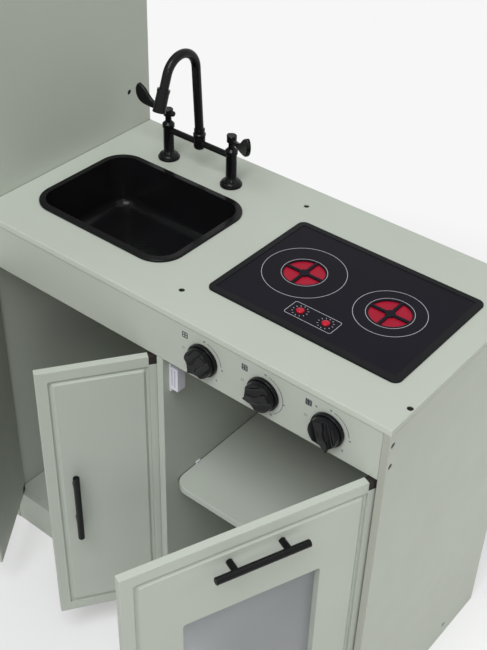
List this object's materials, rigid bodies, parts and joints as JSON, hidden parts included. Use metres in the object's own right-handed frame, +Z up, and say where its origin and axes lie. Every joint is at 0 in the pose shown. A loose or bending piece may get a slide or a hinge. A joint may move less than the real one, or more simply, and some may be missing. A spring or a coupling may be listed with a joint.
{
  "type": "toy kitchen",
  "caption": "Free-standing toy kitchen: a sage-green base unit with sink, bridge tap, hob and windowed oven, beside a tall cupboard with a fridge door and an open niche.",
  "frame": {"origin": "on the floor, under the middle of the centre divider's thickness, halfway between the countertop's front and back edges", "axes": "+X to the right seen from the front, +Y to the back, +Z up"},
  "size_m": [0.886, 0.5491, 1],
  "materials": {
    "painted_board": "satin sage-green paint on fibreboard",
    "back_board": "painted thin fibreboard",
    "satin_black": "satin black",
    "hob_print": "charcoal with pale printed lines",
    "lens": "gloss red",
    "red_plastic": "gloss red",
    "circuit": "green board",
    "white_plastic": "off-white",
    "dark_plastic": "dark brown",
    "clear_pane": "smoked clear",
    "steel": "plated",
    "dark_steel": "blackened"
  },
  "bodies": {
    "carcass": {"countertop": "painted_board", "right_side_panel": "painted_board", "centre_divider": "painted_board", "tower_right_panel": "painted_board", "tower_left_panel": "painted_board", "tower_top_panel": "painted_board", "tower_middle_panel": "painted_board", "tower_bottom_panel": "painted_board", "tower_plinth": "painted_board", "tower_back_panel": "back_board", "sink_bottom_panel": "painted_board", "oven_bottom_panel": "painted_board", "base_plinth": "painted_board", "base_rear_plinth": "painted_board", "base_back_panel": "back_board", "control_panel": "painted_board", "oven_shelf": "painted_board", "fridge_shelf": "painted_board", "shelf_pegs": "white_plastic", "sink_basin": "satin_black", "hob_housing": "satin_black", "hob_plate": "hob_print", "burner_lenses": "lens", "hob_circuit_board": "circuit", "battery_cover": "satin_black", "tap_pillar_left": "satin_black", "tap_pillar_right": "satin_black", "tap_bridge": "satin_black", "tap_nuts": "satin_black", "knob_spindles": "satin_black", "oven_door_catch": "white_plastic", "carcass_bolts": "dark_steel"},
    "sink_door_left_assembly": {"sink_door_left": "painted_board", "sink_door_left_handle": "satin_black", "sink_door_left_handle_screws": "steel", "sink_door_left_pivots": "dark_plastic"},
    "sink_door_right_assembly": {"sink_door_right": "painted_board", "sink_door_right_handle": "satin_black", "sink_door_right_handle_screws": "steel", "sink_door_right_pivots": "dark_plastic"},
    "oven_door_assembly": {"oven_door": "painted_board", "oven_door_handle": "satin_black", "oven_door_handle_screws": "steel", "oven_door_pivots": "dark_plastic", "oven_window": "clear_pane", "oven_strike_plate": "steel"},
    "fridge_door_assembly": {"fridge_door": "painted_board", "fridge_door_handle": "satin_black", "fridge_door_handle_screws": "steel", "fridge_door_pivots": "dark_plastic"},
    "swivel_spout": {"tap_spout": "satin_black", "tap_nozzle": "satin_black"},
    "left_tap_lever": {"tap_lever_left": "satin_black"},
    "right_tap_lever": {"tap_lever_right": "satin_black"},
    "left_knob": {"knob_left": "satin_black"},
    "middle_knob": {"knob_middle": "satin_black"},
    "right_knob": {"knob_right": "satin_black"},
    "left_hob_button": {"hob_button_left": "red_plastic"},
    "right_hob_button": {"hob_button_right": "red_plastic"}
  },
  "joints": [
    {"name": "sink_door_left_swing", "type": "hinge", "parent": "carcass", "child": "sink_door_left_assembly", "pos_m": [-0.2835, -0.1445, 0.057], "axis": [0, 0, -1], "range_deg": [-55, 35]},
    {"name": "sink_door_right_swing", "type": "hinge", "parent": "carcass", "child": "sink_door_right_assembly", "pos_m": [-0.01, -0.1445, 0.057], "axis": [0, 0, 1], "range_deg": [-55, 35]},
    {"name": "oven_door_swing", "type": "hinge", "parent": "carcass", "child": "oven_door_assembly", "pos_m": [0.2795, -0.1445, 0.057], "axis": [0, 0, 1], "range_deg": [-67.7, 22.3]},
    {"name": "fridge_door_swing", "type": "hinge", "parent": "carcass", "child": "fridge_door_assembly", "pos_m": [-0.5775, -0.1445, 0.057], "axis": [0, 0, -1], "range_deg": [0, 90]},
    {"name": "left_knob_turn", "type": "hinge", "parent": "carcass", "child": "left_knob", "pos_m": [0.06225, -0.149, 0.4895], "axis": [0, 1, 0], "continuous": true},
    {"name": "middle_knob_turn", "type": "hinge", "parent": "carcass", "child": "middle_knob", "pos_m": [0.143, -0.149, 0.4895], "axis": [0, 1, 0], "continuous": true},
    {"name": "right_knob_turn", "type": "hinge", "parent": "carcass", "child": "right_knob", "pos_m": [0.22375, -0.149, 0.4895], "axis": [0, 1, 0], "continuous": true},
    {"name": "spout_swivel", "type": "hinge", "parent": "carcass", "child": "swivel_spout", "pos_m": [-0.15065, 0.0906, 0.5784], "axis": [0, 0, 1], "range_deg": [-60, 60]},
    {"name": "left_lever_turn", "type": "hinge", "parent": "carcass", "child": "left_tap_lever", "pos_m": [-0.20165, 0.0906, 0.581], "axis": [0, 0, 1], "range_deg": [0, 90]},
    {"name": "right_lever_turn", "type": "hinge", "parent": "carcass", "child": "right_tap_lever", "pos_m": [-0.09965, 0.0906, 0.581], "axis": [0, 0, 1], "range_deg": [-61.6, 28.4]},
    {"name": "left_button_press", "type": "slide", "parent": "carcass", "child": "left_hob_button", "axis": [0, 0, -1], "range_m": [0, 0.002], "stiffness_N_per_m": 300, "springref_m": -0.001},
    {"name": "right_button_press", "type": "slide", "parent": "carcass", "child": "right_hob_button", "axis": [0, 0, -1], "range_m": [0, 0.002], "stiffness_N_per_m": 300, "springref_m": -0.001}
  ]
}
